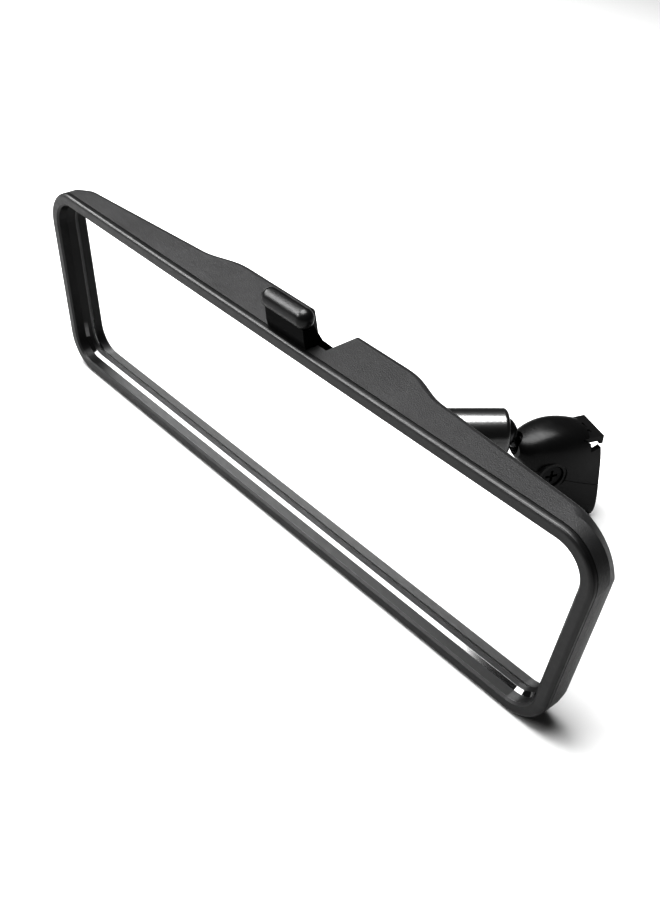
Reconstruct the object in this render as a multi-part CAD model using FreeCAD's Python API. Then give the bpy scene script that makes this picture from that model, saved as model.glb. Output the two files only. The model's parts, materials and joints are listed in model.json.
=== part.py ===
import FreeCAD, Part
import math
import os
from FreeCAD import Placement, Rotation, Vector

# Interior rear-view mirror with a day/night toggle, a tubular arm with a ball joint at each end,
# and a wedge-shaped windscreen base.
#
# The head is drawn with X along its length, Y from the glass to the back and Z upwards, with the
# head's centre at the origin. The windscreen base is drawn in its own axes, with W across the
# mounting face, N out of it and Z upwards. Every part is moved at export, so that the origin lies
# on the windscreen mounting face.

# ---------------------------------------------------------------- driving dimensions (mm, degrees)
HEAD_TOP = 250.0            # length of the head along its upper edge
HEAD_BOTTOM = 232.0         # length along its lower edge
HEAD_H = 68.2               # height of the head
CORNER_R = 13.0             # outer corner radius, seen from the front
WALL = 1.8                  # housing wall
HUMP_X = 3.0                # centre of the deep middle of the housing
HUMP_FLAT = 37.0            # half length of the deep middle
HUMP_FOOT = 56.0            # where the flare of the deep middle ends
EDGE_DEEP = 19.8            # depth of the top edge at the deep middle
EDGE_FOOT = 15.0            # depth of the top edge at the end of the flare
EDGE_TIP = 9.6              # depth of the top edge at the ends
CROWN = 4.2                 # how far the back bulges beyond its top and bottom edges, in the middle
CROWN_TIP = 1.8             # the same at the ends of the head
BACK_ROUND = 2.6            # rounding of the back's edge
END_FROM, END_ROUND = 5.0, 16.0   # the ends curve in from this depth, with this radius
CORNER_GROW = 1.25          # the corner radius grows by this much per mm of depth

SEAM_Y = 2.2                # where the housing starts behind the bezel
BEZEL_BACK = 6.6
RIM_W = 4.2                 # width of the bezel's front face
RIM_ROUND = 1.2
LIP_Y0, LIP_Y1 = 3.6, 5.8   # sloping lip that holds the glass
LIP_INSET = 6.2
GLASS_INSET = 5.0
GLASS_BOTTOM_T, GLASS_TOP_T = 1.9, 2.9
COAT_T = 0.2
FOAM_HALF = 88.0            # half length of the foam pad
FRAME_Y0, FRAME_Y1 = 10.2, 11.6
BOSSES = [Vector(HUMP_X + sx * 33.0, 0, sz) for sx in (-1, 1) for sz in (-22.0, 14.0)]
BOSS_R, PILOT_R, SCREW_R = 3.2, 1.15, 1.1

BALL_R = 5.2
LINER_R = 5.70
GREASE_R = 1.2
POCKET_R = 5.80
CUP_R = 6.40
TUBE_IN_R, TUBE_R = 6.45, 7.7
NECK_R = 2.1
LIP_ANGLE = 76.0            # where the rolled tube end stops, from the tube's axis
HEAD_BALL = Vector(HUMP_X, 21.5, -9.8)

PLATE_Y0, PLATE_Y1 = 12.4, 14.0
TILT_PIVOT = Vector(HUMP_X, 14.4, -25.2)
LEVER_X = 9.75              # centre of the toggle lever's blade and hub
LEVER_PIVOT = Vector(LEVER_X, 14.4, 18.0)
DRIVE_ARM = 6.0             # drive pin above the lever pivot
FOOT_X, FOOT_W = 7.0, 17.0  # centre and width of the lever's foot, which carries the grip
NOTCH_X0, NOTCH_X1 = -2.1, 18.9
BLADE_HALF = 4.6            # half width of the blade that carries the lever's hub
LEVER_EARS = [(LEVER_X - 6.2, LEVER_X - 4.9), (LEVER_X + 4.9, LEVER_X + 6.6)]
TILT_EARS = [(HUMP_X - 21.5, HUMP_X - 18.5), (HUMP_X + 18.5, HUMP_X + 21.5)]
GRIP_LEN, GRIP_R = 20.5, 3.1
GRIP_CENTRE = Vector(FOOT_X, 1.9, 44.0)
PIN_R = 1.3
PIN_GAP = 0.05

BASE_YAW = -19.0            # turn of the base about Z
FACE_FOOT = Vector(51.3, 97.2, -27.1)
BASE_BALL = Vector(-2.0, -33.7, 18.3)        # in the base's axes
STUD_DIR = Vector(0.1, 0.75, -0.655)
COVER_T = 1.6
NOSE_N = -29.0              # the cover's nose, from the mounting face
NOSE_LOW, NOSE_HIGH, NOSE_HALF = 9.2, 15.2, 3.6
COVER_DROP = 27.7           # the cover's bottom falls by this much from the nose to the face
TOP_SWELL, TOP_FALL = 3.8, 0.4     # its top swells between them, and ends this much lower
LOW_SPREAD, HIGH_SPREAD = 8.0, 6.4        # how much wider it gets at the bottom and at the top
COVER_SQUARE = 0.42         # how square its section is at the face
COVER_SECTIONS = 9
COVER_STEP = 10.2           # the cover stops at this height beside the tongue
PARTING_AT, PARTING_SLOPE = -3.4, -0.40    # height of the parting line at the face, and its slope
PARTING_GAP = 0.1
SCREW_AT = Vector(9.3, -18.9, 4.4)
SCREW_BOSS_R, STUD_HOLE_R = 5.3, 3.6
FACE_ABOVE = 4.0            # the origin lies this far above the middle of the mounting face
SLOT_HALF, SLOT_TOP, SLOT_DEEP = 6.0, 2.0, 6.0
SLOT_GROOVE = 1.6           # how far the T-slot widens on each side at its bottom

PARTS = "parts"
KEEP_SPLIT = ("base_cover_upper", "base_core")      # their faces are left as they were cut
os.makedirs(PARTS, exist_ok=True)

BASE_PLACE = Placement(FACE_FOOT, Rotation(Vector(0, 0, 1), BASE_YAW))
ORIGIN = BASE_PLACE.multVec(Vector(0, 0, FACE_ABOVE))
BASE_BALL_WORLD = BASE_PLACE.multVec(BASE_BALL)
ARM_VEC = BASE_BALL_WORLD - HEAD_BALL
ARM_LEN = ARM_VEC.Length
ARM_DIR = Vector(ARM_VEC).normalize()
STUD_DIR.normalize()
X, Y, Z = Vector(1, 0, 0), Vector(0, 1, 0), Vector(0, 0, 1)


# ---------------------------------------------------------------- helpers
def ship(name, shape):
    """Move a finished part to the mounting-face origin and write it, its coplanar faces joined."""
    if name not in KEEP_SPLIT:
        shape = shape.removeSplitter()
    shape.translate(ORIGIN * -1)
    shape.exportStep(os.path.join(PARTS, name + ".step"))
    print(name, "solids", len(shape.Solids), "valid", shape.isValid(), "volume", round(shape.Volume, 1))


def box(x0, x1, y0, y1, z0, z1):
    return Part.makeBox(x1 - x0, y1 - y0, z1 - z0, Vector(x0, y0, z0))


def rod(start, direction, radius, length):
    return Part.makeCylinder(radius, length, start, direction)


def pin_x(centre, radius, x0, x1):
    return rod(Vector(x0, centre.y, centre.z), X, radius, x1 - x0)


def prism_x(points, x0, x1):
    """A (y, z) polygon carried along X."""
    ring = [Vector(x0, y, z) for y, z in points]
    face = Part.Face(Part.makePolygon(ring + ring[:1]))
    return face.extrude(Vector(x1 - x0, 0, 0))


def rounded_wire(corners, radius):
    """A closed wire through the corners, each rounded with the same radius."""
    edges = []
    ends = []
    count = len(corners)
    for i, corner in enumerate(corners):
        back = (corners[i - 1] - corner).normalize()
        ahead = (corners[(i + 1) % count] - corner).normalize()
        half = back.getAngle(ahead) / 2
        reach = radius / math.tan(half)
        middle = (back + ahead).normalize()
        centre = corner + middle * (radius / math.sin(half))
        ends.append((corner + back * reach, centre - middle * radius, corner + ahead * reach))
    for i, (start, mid, stop) in enumerate(ends):
        edges.append(Part.Arc(start, mid, stop).toShape())
        edges.append(Part.LineSegment(stop, ends[(i + 1) % count][0]).toShape())
    return Part.Wire(edges)


def outline(inset, y, corner_r=CORNER_R):
    """The head's front outline, moved inwards by inset, at depth y."""
    lean = math.atan2((HEAD_TOP - HEAD_BOTTOM) / 2, HEAD_H)
    half = HEAD_H / 2 - inset

    def side(z):
        middle = (HEAD_TOP + HEAD_BOTTOM) / 4
        return middle + z * math.tan(lean) - inset / math.cos(lean)

    corners = [Vector(side(half), y, half), Vector(-side(half), y, half),
               Vector(-side(-half), y, -half), Vector(side(-half), y, -half)]
    return rounded_wire(corners, max(corner_r - inset, 1.0))


def slab(inset, y0, y1):
    return Part.Face(outline(inset, y0)).extrude(Vector(0, y1 - y0, 0))


def taper(inset0, y0, inset1, y1):
    return Part.makeLoft([outline(inset0, y0), outline(inset1, y1)], True, True)


def edge_depth(x):
    """Depth of the housing's top and bottom edge at a place along the head."""
    reach = abs(x - HUMP_X)
    if reach <= HUMP_FLAT:
        return EDGE_DEEP
    if reach <= HUMP_FOOT:
        turn = (reach - HUMP_FLAT) / (HUMP_FOOT - HUMP_FLAT)
        return EDGE_DEEP + (EDGE_FOOT - EDGE_DEEP) * (1 - math.cos(math.pi * turn)) / 2
    return EDGE_FOOT + (EDGE_TIP - EDGE_FOOT) * (reach - HUMP_FOOT) / (HEAD_TOP / 2 - HUMP_FOOT)


def back_body(inset):
    """A solid whose far side is the bulged back of the head, moved inwards by inset."""
    far = HEAD_H * 0.75
    half_count = 24
    wires = []
    for i in range(-half_count, half_count + 1):
        x = HUMP_X + i * HEAD_TOP * 0.56 / half_count
        edge = edge_depth(x) - inset
        crown = CROWN + (CROWN_TIP - CROWN) * abs(x - HUMP_X) / (HEAD_TOP / 2)
        fall = crown * (far / (HEAD_H / 2)) ** 2
        low, high = Vector(x, edge + crown - fall, -far), Vector(x, edge + crown - fall, far)
        top = Vector(x, edge + crown, 0)
        front_low, front_high = Vector(x, -10, -far), Vector(x, -10, far)
        wires.append(Part.Wire([Part.LineSegment(front_high, front_low).toShape(),
                                Part.LineSegment(front_low, low).toShape(),
                                Part.Arc(low, top, high).toShape(),
                                Part.LineSegment(high, front_high).toShape()]))
    return Part.makeLoft(wires, True, False)


def on_ball(radius, height):
    """The point of a ball's outline at a height above its centre, in the X-Z plane."""
    return Vector(math.sqrt(radius ** 2 - height ** 2), 0, height)


def round_edge(start, stop, bulge):
    """Arc from start to stop through the point bulge."""
    return Part.Arc(start, bulge, stop).toShape()


def line_edges(*points):
    return [Part.LineSegment(a, b).toShape() for a, b in zip(points, points[1:])]


def turned(edges, centre, axis):
    """A closed outline in the X-Z plane, turned about Z and stood on an axis through centre."""
    solid = Part.Face(Part.Wire(edges)).revolve(Vector(0, 0, 0), Z, 360)
    solid.Placement = Placement(centre, Rotation(Z, axis))
    return solid


def screw(head_at, direction, head_r, head_h, shank_r, length):
    """A pan-head screw with a cross recess; direction runs from the head to the tip."""
    out = direction * -1
    body = rod(head_at, out, head_r, head_h).fuse(rod(head_at, direction, shank_r, length))
    side = Z.cross(direction).normalize()
    up = direction.cross(side)
    depth = head_h * 0.6
    for along, across in ((side, up), (up, side)):
        corner = head_at + out * (head_h - depth) - along * (head_r * 0.6) - across * (head_r * 0.13)
        ring = [corner, corner + along * (head_r * 1.2),
                corner + along * (head_r * 1.2) + across * (head_r * 0.26),
                corner + across * (head_r * 0.26)]
        slot = Part.Face(Part.makePolygon(ring + ring[:1])).extrude(out * (depth + 1))
        body = body.cut(slot)
    return body


# ---------------------------------------------------------------- head: bezel, housing, glass
def bezel():
    steps = 5
    body = slab(2.15, SEAM_Y - 0.3, BEZEL_BACK).fuse(slab(0, RIM_ROUND, SEAM_Y - 0.25))
    for i in range(steps):
        a0, a1 = (math.pi / 2 * k / steps for k in (i, i + 1))
        body = body.fuse(taper(RIM_ROUND * (1 - math.sin(a0)), RIM_ROUND * (1 - math.cos(a0)),
                               RIM_ROUND * (1 - math.sin(a1)), RIM_ROUND * (1 - math.cos(a1))))
    hole = taper(RIM_W - 0.7, -0.01, RIM_W, 0.6).fuse(taper(RIM_W, 0.6, RIM_W + 0.25, LIP_Y0))
    hole = hole.fuse(taper(RIM_W + 0.25, LIP_Y0, LIP_INSET, LIP_Y1))
    hole = hole.fuse(slab(GLASS_INSET - 0.1, LIP_Y1, BEZEL_BACK + 1))
    return body.cut(hole)


def lever_notch():
    """Opening in the top and back of the housing for the lever and a finger behind it."""
    return box(NOTCH_X0, NOTCH_X1, BEZEL_BACK, 40, 20.4, 60)


def arm_dish(grow):
    """Cone round the head ball, in which the arm swings."""
    cone = Part.makeCone(11.0 + grow, 11.0 + grow + 22.0, 20.0,
                         Vector(HUMP_X, 18.4 - grow * 0.5, HEAD_BALL.z), Y)
    return cone.fuse(rod(Vector(HUMP_X, 12.0, HEAD_BALL.z), Y, 11.0 + grow, 10.0))


def end_form(inset):
    """Solid whose two ends follow the leaning ends of the head and curve in towards the back."""
    lean = (HEAD_TOP - HEAD_BOTTOM) / 2 / HEAD_H
    wires = []
    for z in (-HEAD_H, HEAD_H):
        end = (HEAD_TOP + HEAD_BOTTOM) / 4 + z * lean - inset
        radius = END_ROUND - inset
        front, start, back = -10.0, END_FROM, END_FROM + radius
        bend = radius * (1 - math.sqrt(0.5))
        right = [Vector(end, front, z), Vector(end, start, z), Vector(end - bend, back - bend, z),
                 Vector(end - radius, back, z)]
        left = [Vector(-v.x, v.y, v.z) for v in right]
        edges = [Part.LineSegment(left[0], right[0]), Part.LineSegment(right[0], right[1]),
                 Part.Arc(right[1], right[2], right[3]), Part.LineSegment(right[3], right[3] + Y * 20),
                 Part.LineSegment(right[3] + Y * 20, left[3] + Y * 20),
                 Part.LineSegment(left[3] + Y * 20, left[3]), Part.Arc(left[3], left[2], left[1]),
                 Part.LineSegment(left[1], left[0])]
        wires.append(Part.Wire([edge.toShape() for edge in edges]))
    return Part.makeLoft(wires, True, True)


def shell_form(inset):
    """The head behind the bezel, moved inwards by inset; its corners grow rounder with depth."""
    y0, y1 = BEZEL_BACK, 30.0
    grown = CORNER_R + CORNER_GROW * (y1 - y0)
    corners = slab(inset, -1, y0).fuse(Part.makeLoft([outline(inset, y0), outline(inset, y1, grown)],
                                                     True, True))
    return corners.common(back_body(inset)).common(end_form(inset))


def housing():
    outer = shell_form(0).cut(box(-200, 200, -20, SEAM_Y, -100, 100))
    rim = [e for e in outer.Edges if min(v.Point.y for v in e.Vertexes) > BEZEL_BACK + 1]
    outer = outer.makeFillet(BACK_ROUND, rim)
    inner = shell_form(WALL)
    dish_wall = arm_dish(WALL).common(outer)
    body = outer.cut(inner).fuse(dish_wall.common(box(-60, 60, 17.6, 40, -40, 40)))
    for boss in BOSSES:
        post = rod(Vector(boss.x, FRAME_Y1, boss.z), Y, BOSS_R, 20)
        body = body.fuse(post.common(outer))
    body = body.cut(arm_dish(0)).cut(lever_notch())
    for boss in BOSSES:
        body = body.cut(rod(Vector(boss.x, FRAME_Y1 - 1, boss.z), Y, PILOT_R, 8.2))
    return body


def glass_back(y_extra):
    """A (y, z) half space whose face follows the back of the wedge-shaped glass."""
    far = 40.0
    rise = (GLASS_TOP_T - GLASS_BOTTOM_T) / (HEAD_H - 2 * GLASS_INSET)

    def depth(z):
        middle = (GLASS_TOP_T + GLASS_BOTTOM_T) / 2
        return LIP_Y1 + middle + rise * z + y_extra
    return prism_x([(-5, -far), (depth(-far), -far), (depth(far), far), (-5, far)], -140, 140)


def mirror_glass():
    return slab(GLASS_INSET, LIP_Y1, FRAME_Y0).common(glass_back(0))


def reflective_coat():
    layer = slab(GLASS_INSET + 0.4, LIP_Y1, FRAME_Y0).common(glass_back(COAT_T))
    return layer.cut(glass_back(0))


def foam_pad():
    sheet = slab(GLASS_INSET + 3, LIP_Y1, FRAME_Y0).cut(glass_back(COAT_T))
    return sheet.common(box(-FOAM_HALF, FOAM_HALF, 0, FRAME_Y0, -HEAD_H, HEAD_H))


# ---------------------------------------------------------------- toggle mechanism in the head
def mechanism_frame():
    body = box(HUMP_X - 40, HUMP_X + 40, FRAME_Y0, FRAME_Y1, -28.5, 26.5)
    for x0, x1 in LEVER_EARS:
        ear = prism_x([(FRAME_Y0, 13), (FRAME_Y1, 13), (17, 16), (17, 20), (FRAME_Y1, 24),
                       (FRAME_Y0, 24)], x0, x1)
        body = body.fuse(ear)
    for x0, x1 in TILT_EARS:
        ear = prism_x([(FRAME_Y0, -28.5), (16.6, -28.0), (16.6, -22.5), (FRAME_Y1, -19),
                       (FRAME_Y0, -19)], x0, x1)
        body = body.fuse(ear)
    body = body.cut(pin_x(LEVER_PIVOT, PIN_R + PIN_GAP, LEVER_X - 8, LEVER_X + 8))
    body = body.cut(pin_x(TILT_PIVOT, PIN_R + PIN_GAP, HUMP_X - 23, HUMP_X + 23))
    for boss in BOSSES:
        body = body.cut(rod(Vector(boss.x, FRAME_Y0 - 1, boss.z), Y, SCREW_R + 0.2, 5))
        body = body.cut(rod(Vector(boss.x, FRAME_Y0 - 1, boss.z), Y, 2.4, 1.7))
    return body


def frame_screws():
    parts = []
    for boss in BOSSES:
        head_at = Vector(boss.x, FRAME_Y0 + 0.7, boss.z)
        parts.append(screw(head_at, Y, 2.1, 0.65, SCREW_R, 6.5))
    return Part.makeCompound(parts)


def lever_profile():
    """Side view of the toggle lever: a foot on the housing, a web up to the grip, a blade down."""
    sill = HEAD_H / 2 + 0.3
    foot = prism_x([(1.9, sill), (8.3, sill), (8.3, sill + 0.7), (4.6, 41.4), (0.6, 41.4), (1.2, 36.8)],
                   FOOT_X - FOOT_W / 2, FOOT_X + FOOT_W / 2)
    blade = prism_x([(7.1, sill + 0.5), (8.3, sill + 0.5), (10.4, 33.2), (16.2, 27.4), (16.2, 18.0),
                     (12.8, 18.0), (12.8, 27.3), (11.9, 28.9), (7.1, 32.4)],
                    LEVER_X - BLADE_HALF, LEVER_X + BLADE_HALF)
    hub = pin_x(LEVER_PIVOT, 2.6, LEVER_X - BLADE_HALF, LEVER_X + BLADE_HALF)
    return foot.fuse(blade).fuse(hub)


def toggle_lever():
    drive = LEVER_PIVOT + Z * DRIVE_ARM
    body = lever_profile()
    # the grip is tight in the near end of its seat and just clears the rest
    body = body.cut(pin_x(GRIP_CENTRE, GRIP_R + 0.02, 0, 30).fuse(pin_x(GRIP_CENTRE, GRIP_R, -20, 0)))
    body = body.cut(pin_x(LEVER_PIVOT, PIN_R + PIN_GAP, LEVER_X - 9, LEVER_X + 9))
    return body.cut(pin_x(drive, 1.2, LEVER_X - 9, LEVER_X + 2))


def lever_grip():
    half = GRIP_LEN / 2 - GRIP_R
    body = pin_x(GRIP_CENTRE, GRIP_R, FOOT_X - half, FOOT_X + half)
    for end in (-half, half):
        body = body.fuse(Part.makeSphere(GRIP_R, GRIP_CENTRE + X * end))
    return body


def lever_pivot_pin():
    return pin_x(LEVER_PIVOT, PIN_R, LEVER_X - 6.4, LEVER_X + 6.8)


def drive_pin():
    return pin_x(LEVER_PIVOT + Z * DRIVE_ARM, 1.2, -1.0, LEVER_X + 2)


def detent_spring():
    """Leaf that holds the lever at either end of its swing, clipped to the mechanism frame."""
    leaf = box(LEVER_X + 7.4, LEVER_X + 8.0, FRAME_Y1, 17.5, 15.0, 24.0)
    foot = box(LEVER_X + 7.4, LEVER_X + 14.0, FRAME_Y1, FRAME_Y1 + 0.6, 15.0, 24.0)
    bump = rod(Vector(LEVER_X + 7.0, 15.2, 19.5), X, 1.0, 0.5)
    return leaf.fuse(foot).fuse(bump)


def tilt_pivot_pin():
    return pin_x(TILT_PIVOT, PIN_R, HUMP_X - 22.0, HUMP_X + 22.0)


def ball_bracket():
    plate = box(HUMP_X - 17.5, HUMP_X + 17.5, PLATE_Y0, PLATE_Y1, -24.0, 4.0)
    neck = box(HUMP_X - 7, HUMP_X - 0.5, PLATE_Y0, PLATE_Y1, 3, 28.0)
    knuckle = pin_x(TILT_PIVOT, 2.6, HUMP_X - 18.2, HUMP_X + 18.2)
    web = box(HUMP_X - 17.5, HUMP_X + 17.5, PLATE_Y0, PLATE_Y1 + 0.4, -25, -22)
    drive = LEVER_PIVOT + Z * DRIVE_ARM
    guide = box(-0.6, 2.4, PLATE_Y0, 16.9, 20.7, 28.0)
    body = plate.fuse(neck).fuse(knuckle).fuse(web).fuse(guide)
    body = body.cut(pin_x(TILT_PIVOT, PIN_R + PIN_GAP, HUMP_X - 20, HUMP_X + 20))
    slot = box(-2, 3.2, drive.y - 1.2 - 0.3, drive.y + 1.2 + 0.3, drive.z - 2.8, drive.z + 1.6)
    body = body.cut(slot)
    return body.cut(rod(Vector(HUMP_X, 0, HEAD_BALL.z), Y, 2.05, 30))


def head_ball_stud():
    """Ball, neck, shoulder on the bracket and a rivet head on its far side."""
    base = Vector(HUMP_X, PLATE_Y1, HEAD_BALL.z)
    body = Part.makeSphere(BALL_R, HEAD_BALL)
    body = body.fuse(rod(Vector(HUMP_X, PLATE_Y0, HEAD_BALL.z), Y, 2.0, 6.0))
    body = body.fuse(rod(base, Y, 3.6, 0.8))
    return body.fuse(rod(Vector(HUMP_X, PLATE_Y0 - 0.6, HEAD_BALL.z), Y, 3.2, 0.6))


# ---------------------------------------------------------------- ball joints and arm
def ball_liner(centre, out):
    """Thin shell between a ball and its cup, open towards the stud, with a grease hole behind."""
    inner = BALL_R + 0.05
    rim = LINER_R * math.cos(math.radians(LIP_ANGLE + 2))
    hole = -math.sqrt(LINER_R ** 2 - GREASE_R ** 2)
    hole_in = -math.sqrt(inner ** 2 - GREASE_R ** 2)
    middle = -LINER_R / 2
    edges = [round_edge(on_ball(LINER_R, rim), on_ball(LINER_R, hole), on_ball(LINER_R, middle)),
             *line_edges(on_ball(LINER_R, hole), on_ball(inner, hole_in)),
             round_edge(on_ball(inner, hole_in), on_ball(inner, rim), on_ball(inner, middle)),
             *line_edges(on_ball(inner, rim), on_ball(LINER_R, rim))]
    return turned(edges, centre, out)


def ball_cup(centre, out):
    """Plastic seat inside the tube, behind the ball."""
    seat, mouth, back, hole_r = POCKET_R + 0.08, -0.1, -8.5, 2.2
    low = -math.sqrt(seat ** 2 - hole_r ** 2)
    edges = [*line_edges(on_ball(seat, low), Vector(hole_r, 0, back), Vector(CUP_R, 0, back),
                         Vector(CUP_R, 0, mouth), on_ball(seat, mouth)),
             round_edge(on_ball(seat, mouth), on_ball(seat, low), on_ball(seat, -seat / 2))]
    return turned(edges, centre, out)


def arm_tube():
    """Drawn tube whose ends are rolled in over the balls."""
    lip = POCKET_R * math.cos(math.radians(LIP_ANGLE))
    mouth_r = POCKET_R * math.sin(math.radians(LIP_ANGLE))
    over, end_round = lip + 0.6, 1.6
    bend = end_round * (1 - math.sqrt(0.5))
    land = TUBE_R - end_round
    top, bottom = ARM_LEN + over, -over

    def end_arc(tip, inwards, start, stop):
        return round_edge(start, stop, Vector(TUBE_R - bend, 0, tip + inwards * bend))

    low_in, low_out = Vector(land, 0, bottom), Vector(TUBE_R, 0, bottom + end_round)
    high_in, high_out = Vector(land, 0, top), Vector(TUBE_R, 0, top - end_round)
    edges = [*line_edges(Vector(mouth_r, 0, -lip), low_in), end_arc(bottom, 1, low_in, low_out),
             *line_edges(low_out, high_out), end_arc(top, -1, high_out, high_in),
             *line_edges(high_in, Vector(mouth_r, 0, ARM_LEN + lip))]
    half_way = POCKET_R * math.cos(math.radians((90 + LIP_ANGLE) / 2))
    half_r = POCKET_R * math.sin(math.radians((90 + LIP_ANGLE) / 2))
    edges.append(round_edge(Vector(mouth_r, 0, ARM_LEN + lip), Vector(POCKET_R, 0, ARM_LEN),
                            Vector(half_r, 0, ARM_LEN + half_way)))
    edges += line_edges(Vector(POCKET_R, 0, ARM_LEN), Vector(TUBE_IN_R, 0, ARM_LEN),
                        Vector(TUBE_IN_R, 0, 0), Vector(POCKET_R, 0, 0))
    edges.append(round_edge(Vector(POCKET_R, 0, 0), Vector(mouth_r, 0, -lip),
                            Vector(half_r, 0, -half_way)))
    return turned(edges, HEAD_BALL, ARM_DIR)


def arm_spring():
    """Coil spring that presses the two cups apart, drawn as its stack of turns."""
    wire_r, coil_r = 0.7, 4.9
    start, end = 10.1, ARM_LEN - 10.1
    turns = 11
    pitch = (end - start - 2 * wire_r) / turns
    coil = Part.makeHelix(pitch, pitch * turns, coil_r)
    profile = Part.Wire(Part.makeCircle(wire_r, Vector(coil_r, 0, 0), Y))
    body = Part.Wire(coil.Edges).makePipeShell([profile], True, True)
    body.Placement = Placement(HEAD_BALL + ARM_DIR * (start + wire_r), Rotation(Z, ARM_DIR))
    return body


def spring_washers():
    parts = []
    for centre, out in ((HEAD_BALL, ARM_DIR), (BASE_BALL_WORLD, ARM_DIR * -1)):
        disc = rod(centre + out * 8.8, out, 6.2, 1.0)
        parts.append(disc.cut(rod(centre + out * 8, out, 2.4, 3)))
    return Part.makeCompound(parts)


# ---------------------------------------------------------------- windscreen base, in its own axes
def cover_section(u, shrink):
    """One rounded section of the base cover, drawn in W and Z; u runs from 0, the nose, to 1."""
    low = NOSE_LOW - COVER_DROP * math.sin(math.pi * u / 2) + shrink
    high = NOSE_HIGH + TOP_SWELL * math.sin(math.pi * u ** 0.9) - TOP_FALL * u ** 2 - shrink
    half_low = NOSE_HALF + LOW_SPREAD * math.sqrt(u) - shrink
    half_high = NOSE_HALF + HIGH_SPREAD * math.sin(math.pi * 0.84 * u ** 0.7) - shrink
    squareness = 1 - COVER_SQUARE * math.sqrt(u)
    n = (NOSE_N + shrink) * (1 - u)
    count = 24
    points = []
    for i in range(count):
        turn = 2 * math.pi * i / count
        c, s = math.cos(turn), math.sin(turn)
        rise = math.copysign(abs(s) ** squareness, s)
        reach = math.copysign(abs(c) ** squareness, c)
        width = half_low + (half_high - half_low) * (rise + 1) / 2
        points.append(Vector(reach * width, n, (high + low) / 2 + rise * (high - low) / 2))
    curve = Part.BSplineCurve()
    curve.interpolate(points, PeriodicFlag=True)
    return Part.Wire(curve.toShape())


def cover_form(shrink, reach=0.0):
    """The base's outer form moved inwards by shrink, and carried past the face by reach."""
    steps = [i / (COVER_SECTIONS - 1) for i in range(COVER_SECTIONS)]
    body = Part.makeLoft([cover_section(u, shrink) for u in steps], True, False)
    if reach:
        mouth = Part.Face(cover_section(1.0, shrink))
        body = body.fuse(mouth.extrude(Vector(0, reach, 0)))
    return body


def under_parting(offset):
    """Everything in the base below the sloping parting line."""
    near, far, bottom = -45.0, 10.0, -60.0
    near_top, far_top = (PARTING_AT + offset + PARTING_SLOPE * n for n in (near, far))
    return prism_x([(near, bottom), (far, bottom), (far, far_top), (near, near_top)], -40, 40)


def base_cover():
    """The whole cover before it is parted, without its screw boss."""
    shell = cover_form(0).cut(cover_form(COVER_T, 4.0))
    shell = shell.cut(rod(BASE_BALL, STUD_DIR, STUD_HOLE_R, 16))
    shell = shell.cut(box(-20, 20, -4.6, 6, COVER_STEP, 30))
    return shell.cut(box(-7.0, 7.0, -10, 10, 12.6, 14.9))


def screw_boss(radius, length):
    return rod(Vector(2.0, SCREW_AT.y, SCREW_AT.z), X, radius, length)


def base_cover_upper():
    """Upper cover, which carries the whole screw boss."""
    boss = screw_boss(SCREW_BOSS_R, SCREW_AT.x - 2.0).cut(cover_form(COVER_T))
    body = base_cover().cut(under_parting(PARTING_GAP)).cut(screw_boss(SCREW_BOSS_R, 20)).fuse(boss)
    return body.cut(rod(SCREW_AT - X * 2.4, X, 4.2, 6)).cut(rod(SCREW_AT - X * 10, X, 2.1, 12))


def base_cover_lower():
    """Lower cover, open at the bottom where the windscreen button slides in."""
    body = base_cover().common(under_parting(-PARTING_GAP))
    body = body.cut(screw_boss(SCREW_BOSS_R + 0.1, 20))
    wide = SLOT_HALF + SLOT_GROOVE
    return body.cut(box(-wide, wide, -SLOT_DEEP, 6, -30, -10))


def base_core():
    """Cast body in the covers, with the T-slot for the windscreen button."""
    inside = cover_form(COVER_T + 0.35, 4.0).common(box(-20, 20, -22, 0, -20, 12.4))
    body = inside.cut(box(-SLOT_HALF, SLOT_HALF, -SLOT_DEEP, 5, -20, SLOT_TOP))
    wide = SLOT_HALF + SLOT_GROOVE
    body = body.cut(box(-wide, wide, -SLOT_DEEP, -SLOT_DEEP + 2.6, -20, SLOT_TOP))
    body = body.cut(box(-20, 20, -4.8, 6, 7.0, 30))
    body = body.cut(rod(SCREW_AT - X * 2.5, X, 5.8, 12))
    body = body.cut(rod(SCREW_AT - X * 6.1, X, 1.85, 20))
    return body.cut(rod(BASE_BALL + STUD_DIR * 8, STUD_DIR, 3.25, 21.2))


def base_ball_stud():
    body = Part.makeSphere(BALL_R, BASE_BALL)
    body = body.fuse(rod(BASE_BALL, STUD_DIR, NECK_R, 12))
    return body.fuse(rod(BASE_BALL + STUD_DIR * 8.4, STUD_DIR, 3.2, 20.6))


def base_screw():
    head_at = SCREW_AT - X * 2.2
    return screw(head_at, X * -1, 3.7, 1.6, 1.8, 3.6)


def cover_tongue():
    """Tongue along the top of the base, which hooks over the rim of the windscreen button's plate."""
    body = box(-6.2, 6.2, -9.2, 0.6, 12.9, 14.6)
    body = body.fuse(box(-6.2, 6.2, -0.6, 0.6, 11.6, 13.5))
    return body.cut(box(-2.4, 0.2, -3.8, -2.2, 14.1, 16)).cut(box(1.6, 3.2, -3.8, -2.2, 14.1, 16))


def lock_spring():
    """Leaf in the bottom of the slot that grips the windscreen button."""
    leaf = box(-4.5, 4.5, -SLOT_DEEP + 0.05, -SLOT_DEEP + 0.55, -12.0, 0.5)
    return leaf.fuse(box(-3.0, 3.0, -SLOT_DEEP + 0.5, -SLOT_DEEP + 1.2, -3.6, -2.4))


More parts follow.
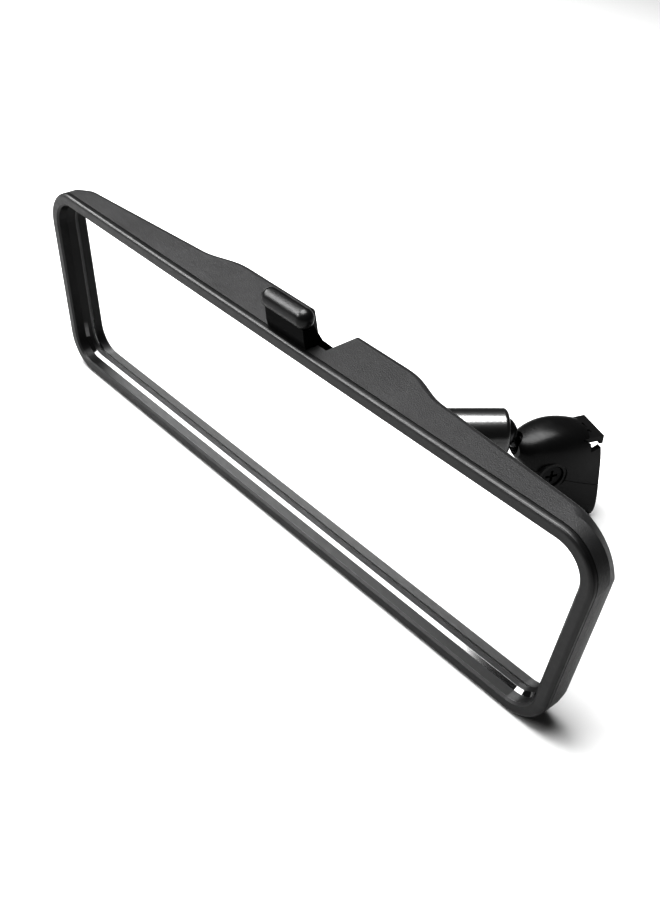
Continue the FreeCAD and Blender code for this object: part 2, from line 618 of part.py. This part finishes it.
# ---------------------------------------------------------------- build
def main():
    head = {"bezel": bezel, "housing": housing, "mirror_glass": mirror_glass,
            "reflective_coat": reflective_coat, "foam_pad": foam_pad,
            "mechanism_frame": mechanism_frame, "frame_screws": frame_screws,
            "toggle_lever": toggle_lever, "lever_grip": lever_grip,
            "lever_pivot_pin": lever_pivot_pin, "drive_pin": drive_pin,
            "detent_spring": detent_spring, "tilt_pivot_pin": tilt_pivot_pin,
            "ball_bracket": ball_bracket, "head_ball_stud": head_ball_stud}
    for name, build in head.items():
        ship(name, build())
    ship("head_ball_liner", ball_liner(HEAD_BALL, ARM_DIR * -1))
    ship("head_ball_cup", ball_cup(HEAD_BALL, ARM_DIR * -1))
    ship("base_ball_liner", ball_liner(BASE_BALL_WORLD, ARM_DIR))
    ship("base_ball_cup", ball_cup(BASE_BALL_WORLD, ARM_DIR))
    ship("arm_tube", arm_tube())
    ship("arm_spring", arm_spring())
    ship("spring_washers", spring_washers())
    base = {"base_cover_upper": base_cover_upper, "base_cover_lower": base_cover_lower,
            "base_core": base_core, "base_ball_stud": base_ball_stud, "base_screw": base_screw,
            "cover_tongue": cover_tongue, "lock_spring": lock_spring}
    for name, build in base.items():
        shape = build()
        shape.Placement = BASE_PLACE.multiply(shape.Placement)
        ship(name, shape)


main()
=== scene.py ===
import json
import math
import bpy
from mathutils import Matrix, Vector


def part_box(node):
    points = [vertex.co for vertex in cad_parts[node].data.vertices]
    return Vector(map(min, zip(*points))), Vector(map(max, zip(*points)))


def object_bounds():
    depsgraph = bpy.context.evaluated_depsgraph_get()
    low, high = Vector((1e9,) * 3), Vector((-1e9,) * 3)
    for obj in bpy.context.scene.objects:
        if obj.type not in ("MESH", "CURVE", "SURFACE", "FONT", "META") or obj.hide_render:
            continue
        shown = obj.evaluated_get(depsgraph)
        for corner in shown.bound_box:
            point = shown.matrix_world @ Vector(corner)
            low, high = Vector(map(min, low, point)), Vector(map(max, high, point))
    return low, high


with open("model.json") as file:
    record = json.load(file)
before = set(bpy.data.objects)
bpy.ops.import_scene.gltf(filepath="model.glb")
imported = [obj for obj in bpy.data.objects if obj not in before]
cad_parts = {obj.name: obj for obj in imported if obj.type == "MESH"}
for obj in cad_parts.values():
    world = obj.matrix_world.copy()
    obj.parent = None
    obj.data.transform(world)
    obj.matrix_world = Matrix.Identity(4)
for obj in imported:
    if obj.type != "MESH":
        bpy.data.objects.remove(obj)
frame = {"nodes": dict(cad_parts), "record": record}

CAD_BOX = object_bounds()
MM = 0.001

# camera, light and floor
CAMERA_AZIMUTH, CAMERA_ELEVATION, CAMERA_ROLL = 47.58, 36.58, 3.03
CAMERA_DISTANCE = 0.3654
CAMERA_AIM_FROM_HEAD = Vector((0.0164, 0.0124, -0.0050))   # from the middle of the bezel's front
CAMERA_LENS, CAMERA_SENSOR = 47.85, 36.0
VIEW_GAMMA = 0.68              # deepens the blacks
WORLD_STRENGTH = 0.12
FLOOR_HALF = 3.0               # half the floor's side
FLOOR_GAP = 0.3 * MM           # between the floor and the head's lowest edge

WALL_DEPTH = 0.5 * MM          # where the bezel's dull inner wall starts, behind its front
LIP_DEPTH = 3.6 * MM           # where the polished band on its lip starts
LIP_BAND = 1.15 * MM           # depth of the polished band
LOW_RUN = 13 * MM              # the band fades out at this height above the bezel's bottom
LOW_FADE = 4 * MM
POLISH_ROUGHNESS = 0.07


# ------------------------------------------------------------------------------- node helpers
def new_material(name):
    material = bpy.data.materials.new(name)
    material.use_nodes = True
    nodes = material.node_tree.nodes
    nodes.clear()
    shader = nodes.new("ShaderNodeBsdfPrincipled")
    output = nodes.new("ShaderNodeOutputMaterial")
    material.node_tree.links.new(shader.outputs["BSDF"], output.inputs["Surface"])
    return material, shader


def add(material, kind, **settings):
    node = material.node_tree.nodes.new(kind)
    for key, value in settings.items():
        setattr(node, key, value)
    return node


def link(material, source, target):
    material.node_tree.links.new(source, target)


def object_coords(material, stretch=(1, 1, 1)):
    coords = add(material, "ShaderNodeTexCoord")
    mapping = add(material, "ShaderNodeMapping")
    mapping.inputs["Scale"].default_value = stretch
    link(material, coords.outputs["Object"], mapping.inputs["Vector"])
    return mapping.outputs["Vector"]


def noise(material, coords, scale, detail=2.0, rough=0.5):
    node = add(material, "ShaderNodeTexNoise")
    node.inputs["Scale"].default_value = scale
    node.inputs["Detail"].default_value = detail
    node.inputs["Roughness"].default_value = rough
    link(material, coords, node.inputs["Vector"])
    return node.outputs["Fac"]


def ramp(material, value, low, high, out_low, out_high):
    node = add(material, "ShaderNodeMapRange")
    node.inputs["From Min"].default_value = low
    node.inputs["From Max"].default_value = high
    node.inputs["To Min"].default_value = out_low
    node.inputs["To Max"].default_value = out_high
    link(material, value, node.inputs["Value"])
    return node.outputs["Result"]


def times(material, first, second):
    node = add(material, "ShaderNodeMath", operation="MULTIPLY")
    link(material, first, node.inputs[0])
    link(material, second, node.inputs[1])
    return node.outputs["Value"]


def mix_colour(material, factor, first, second):
    node = add(material, "ShaderNodeMix", data_type="RGBA")
    node.clamp_factor = True
    colour_a, colour_b, colour_out = 6, 7, 2
    link(material, factor, node.inputs[0])
    node.inputs[colour_a].default_value = (*first, 1)
    node.inputs[colour_b].default_value = (*second, 1)
    return node.outputs[colour_out]


def bump(material, height, distance):
    node = add(material, "ShaderNodeBump")
    node.inputs["Distance"].default_value = distance
    node.inputs["Strength"].default_value = 1.0
    link(material, height, node.inputs["Height"])
    return node.outputs["Normal"]


def depth_and_height(material, coords):
    """The Y and Z of a place on the piece."""
    split = add(material, "ShaderNodeSeparateXYZ")
    link(material, coords, split.inputs["Vector"])
    return split.outputs["Y"], split.outputs["Z"]


# ------------------------------------------------------------------------------- materials
def moulded_plastic(name, colour, roughness, grain_mm, grain_depth_mm, sheen=0.5):
    """Moulded plastic: fine grain, slow gloss changes and faint scuffs; sheen is its specular level."""
    material, shader = new_material(name)
    coords = object_coords(material)
    grain = noise(material, coords, 1 / (grain_mm * MM), 3.0, 0.6)
    cloud = noise(material, coords, 45.0, 3.0, 0.55)
    lighter = tuple(c * 1.55 + 0.0015 for c in colour)
    link(material, mix_colour(material, ramp(material, cloud, 0.35, 0.7, 0, 1), colour, lighter),
         shader.inputs["Base Color"])
    scuffs = noise(material, object_coords(material, (1, 6, 2)), 260.0, 4.0, 0.7)
    spread = ramp(material, scuffs, 0.3, 0.75, roughness - 0.06, roughness + 0.08)
    link(material, spread, shader.inputs["Roughness"])
    link(material, bump(material, grain, grain_depth_mm * MM), shader.inputs["Normal"])
    shader.inputs["IOR"].default_value = 1.5
    shader.inputs["Specular IOR Level"].default_value = sheen
    return material


def bezel_plastic(name, colour):
    """Satin rim, duller inside, with a polished band along the lower run of its sloping lip."""
    material, shader = new_material(name)
    coords = object_coords(material)
    depth, height = depth_and_height(material, coords)
    front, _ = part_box("bezel")
    lip_from = front.y + LIP_DEPTH
    behind = ramp(material, depth, lip_from - 0.05 * MM, lip_from + 0.05 * MM, 0, 1)
    low = ramp(material, height, front.z + LOW_RUN, front.z + LOW_RUN + LOW_FADE, 1, 0)
    band_end = lip_from + LIP_BAND
    before = ramp(material, depth, band_end - 0.05 * MM, band_end + 0.1 * MM, 1, 0)
    on_lip = times(material, times(material, behind, before), low)
    wall_from = front.y + WALL_DEPTH
    sheen = ramp(material, depth, wall_from, wall_from + 0.3 * MM, 0.5, 0.24)
    scuffs = noise(material, object_coords(material, (1, 5, 2)), 300.0, 4.0, 0.7)
    satin = ramp(material, scuffs, 0.3, 0.75, 0.34, 0.5)
    blend = add(material, "ShaderNodeMix", data_type="FLOAT")
    link(material, on_lip, blend.inputs[0])
    link(material, satin, blend.inputs[2])
    blend.inputs[3].default_value = POLISH_ROUGHNESS
    level = add(material, "ShaderNodeMath", operation="MAXIMUM")
    link(material, sheen, level.inputs[0])
    link(material, on_lip, level.inputs[1])
    link(material, level.outputs["Value"], shader.inputs["Specular IOR Level"])
    link(material, blend.outputs[0], shader.inputs["Roughness"])
    grain = noise(material, coords, 1 / (0.2 * MM), 3.0, 0.6)
    fade = times(material, grain, ramp(material, on_lip, 0, 1, 1, 0))
    link(material, bump(material, fade, 0.010 * MM), shader.inputs["Normal"])
    cloud = noise(material, coords, 60.0, 3.0, 0.55)
    lighter = tuple(c * 1.5 for c in colour)
    link(material, mix_colour(material, ramp(material, cloud, 0.35, 0.7, 0, 1), colour, lighter),
         shader.inputs["Base Color"])
    return material


def lever_plastic(name, colour):
    """Grip bar with a soft gloss; on the foot below it the specular is cut to near nothing, a painted shade
    for the shadow under the grip.
    """
    material = moulded_plastic(name, colour, 0.32, 0.22, 0.012)
    shader = material.node_tree.nodes["Principled BSDF"]
    _, height = depth_and_height(material, object_coords(material))
    grip_low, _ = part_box("lever_grip")
    # painted shade: specular level 0.32 on the grip falls to 0.02 on the foot below it, darkening the foot
    # as if shaded by the grip
    grip_gloss_foot_painted_shade = ramp(material, height, grip_low.z + 0.2 * MM, grip_low.z + 0.8 * MM, 0.02, 0.32)
    link(material, grip_gloss_foot_painted_shade, shader.inputs["Specular IOR Level"])
    return material


def gloss_paint(name, colour, roughness):
    """Thick gloss paint with a slight orange peel."""
    material, shader = new_material(name)
    coords = object_coords(material)
    peel = noise(material, coords, 700.0, 1.0, 0.4)
    cloud = noise(material, coords, 90.0, 2.0, 0.5)
    shader.inputs["Base Color"].default_value = (*colour, 1)
    link(material, ramp(material, cloud, 0.3, 0.7, roughness, roughness + 0.06), shader.inputs["Roughness"])
    link(material, bump(material, peel, 0.02 * MM), shader.inputs["Normal"])
    shader.inputs["Coat Weight"].default_value = 1.0
    shader.inputs["Coat Roughness"].default_value = 0.20
    shader.inputs["Specular IOR Level"].default_value = 0.8
    return material


def plain_steel(name, colour, roughness, stretch):
    """Bare metal with fine turning or rolling lines."""
    material, shader = new_material(name)
    lines = noise(material, object_coords(material, stretch), 900.0, 3.0, 0.6)
    shader.inputs["Base Color"].default_value = (*colour, 1)
    shader.inputs["Metallic"].default_value = 1.0
    link(material, ramp(material, lines, 0.3, 0.7, roughness - 0.08, roughness + 0.1),
         shader.inputs["Roughness"])
    link(material, bump(material, lines, 0.008 * MM), shader.inputs["Normal"])
    return material


def open_foam(name, colour):
    material, shader = new_material(name)
    cells = add(material, "ShaderNodeTexVoronoi")
    cells.inputs["Scale"].default_value = 1400.0
    link(material, object_coords(material), cells.inputs["Vector"])
    link(material, mix_colour(material, cells.outputs["Distance"], tuple(c * 0.5 for c in colour), colour),
         shader.inputs["Base Color"])
    link(material, bump(material, cells.outputs["Distance"], 0.2 * MM), shader.inputs["Normal"])
    shader.inputs["Roughness"].default_value = 0.95
    return material


def silvered_glass(name):
    """The mirror seen from the front: a bright silver with the faintest dust."""
    material, shader = new_material(name)
    coords = object_coords(material)
    specks = noise(material, coords, 2600.0, 2.0, 0.5)
    shader.inputs["Base Color"].default_value = (0.97, 0.975, 0.975, 1)
    shader.inputs["Metallic"].default_value = 1.0
    link(material, ramp(material, specks, 0.62, 0.8, 0.008, 0.05), shader.inputs["Roughness"])
    return material


MATERIALS = {
    "grained_plastic": moulded_plastic("grained_plastic", (0.008, 0.008, 0.0082), 0.46, 0.42, 0.10, 0.5),
    "bezel_plastic": bezel_plastic("bezel_plastic", (0.004, 0.004, 0.0041)),
    "cover_plastic": moulded_plastic("cover_plastic", (0.0035, 0.0035, 0.0036), 0.33, 0.28, 0.02, 0.2),
    "lever_plastic": lever_plastic("lever_plastic", (0.003, 0.003, 0.0031)),
    "frame_plastic": moulded_plastic("frame_plastic", (0.03, 0.03, 0.031), 0.55, 0.5, 0.03),
    "nylon": moulded_plastic("nylon", (0.005, 0.005, 0.0051), 0.36, 0.6, 0.01, 0.3),
    "tube_paint": gloss_paint("tube_paint", (0.002, 0.002, 0.0021), 0.30),
    "core_metal": gloss_paint("core_metal", (0.02, 0.02, 0.021), 0.34),
    "steel": plain_steel("steel", (0.56, 0.56, 0.57), 0.34, (1, 8, 8)),
    "ball_metal": plain_steel("ball_metal", (0.06, 0.06, 0.062), 0.24, (8, 8, 1)),
    "black_steel": plain_steel("black_steel", (0.016, 0.016, 0.0165), 0.42, (1, 8, 8)),
    "foam": open_foam("foam", (0.05, 0.05, 0.05)),
    "glass": silvered_glass("glass"),
    "mirror_coat": silvered_glass("mirror_coat"),
}


def dress_cad_nodes():
    """Give every CAD node the material of its slot in the record, and smooth shading."""
    slot_of = {entry["node"]: entry["material_slot"] for entry in frame["record"]["subparts"]}
    for name, node in frame["nodes"].items():
        node.data.materials.clear()
        node.data.materials.append(MATERIALS[slot_of[name]])
        node.data.shade_smooth()
        for polygon in node.data.polygons:
            polygon.material_index = 0


# ------------------------------------------------------------------------------- stage
def floor_plane():
    """Pale floor under the bezel's front lower edge and the base's lower rear edge."""
    front_low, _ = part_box("bezel")
    base_low, base_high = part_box("base_cover_lower")
    run, drop = base_high.y - front_low.y, base_low.z - front_low.z
    tilt = math.atan2(drop, run)
    mesh = bpy.data.meshes.new("floor")
    mesh.from_pydata([(x * FLOOR_HALF, y * FLOOR_HALF, 0) for x, y in ((-1, -1), (1, -1), (1, 1), (-1, 1))],
                     [], [(0, 1, 2, 3)])
    floor = bpy.data.objects.new("floor", mesh)
    bpy.context.scene.collection.objects.link(floor)
    floor.rotation_euler = (tilt, 0, 0)
    floor.location = (0, front_low.y, front_low.z - FLOOR_GAP)
    material, shader = new_material("floor_paper")
    shader.inputs["Base Color"].default_value = (0.42, 0.42, 0.42, 1)
    shader.inputs["Roughness"].default_value = 0.9
    shader.inputs["Specular IOR Level"].default_value = 0.1
    mesh.materials.append(material)


def soft_light(name, location, aim, size, power):
    data = bpy.data.lights.new(name, "AREA")
    data.shape = "RECTANGLE"
    data.size, data.size_y = size
    data.energy = power
    light = bpy.data.objects.new(name, data)
    bpy.context.scene.collection.objects.link(light)
    light.location = location
    light.rotation_euler = (Vector(aim) - Vector(location)).to_track_quat("-Z", "Y").to_euler()


def studio():
    scene = bpy.context.scene
    scene.view_settings.view_transform = "Standard"
    scene.view_settings.gamma = VIEW_GAMMA
    world = bpy.data.worlds.new("studio")
    scene.world = world
    world.use_nodes = True
    world.node_tree.nodes["Background"].inputs["Color"].default_value = (1, 1, 1, 1)
    world.node_tree.nodes["Background"].inputs["Strength"].default_value = WORLD_STRENGTH
    low, high = CAD_BOX
    middle = (Vector(low) + Vector(high)) / 2
    # a broad box overhead, and a bright panel up in front on the left that the glass lip mirrors
    soft_light("overhead", middle + Vector((-0.2, 0.0, 1.0)), middle, (0.85, 0.85), 45.0)
    soft_light("front_panel", middle + Vector((-0.95, -0.60, 0.85)), middle, (1.6, 0.5), 48.0)


def camera():
    low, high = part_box("bezel")
    aim = Vector(((low.x + high.x) / 2, low.y, (low.z + high.z) / 2)) + CAMERA_AIM_FROM_HEAD
    azimuth, elevation = math.radians(CAMERA_AZIMUTH), math.radians(CAMERA_ELEVATION)
    forward = Vector((-math.sin(azimuth) * math.cos(elevation), math.cos(azimuth) * math.cos(elevation),
                      -math.sin(elevation)))
    turn = forward.to_track_quat("-Z", "Y").to_matrix().to_4x4()
    turn = turn @ Matrix.Rotation(math.radians(CAMERA_ROLL), 4, "Z")
    data = bpy.data.cameras.new("camera")
    data.lens, data.sensor_width = CAMERA_LENS, CAMERA_SENSOR
    data.clip_start = 0.01
    view = bpy.data.objects.new("camera", data)
    bpy.context.scene.collection.objects.link(view)
    view.matrix_world = Matrix.Translation(aim - forward * CAMERA_DISTANCE) @ turn
    bpy.context.scene.camera = view


dress_cad_nodes()
floor_plane()
studio()
camera()
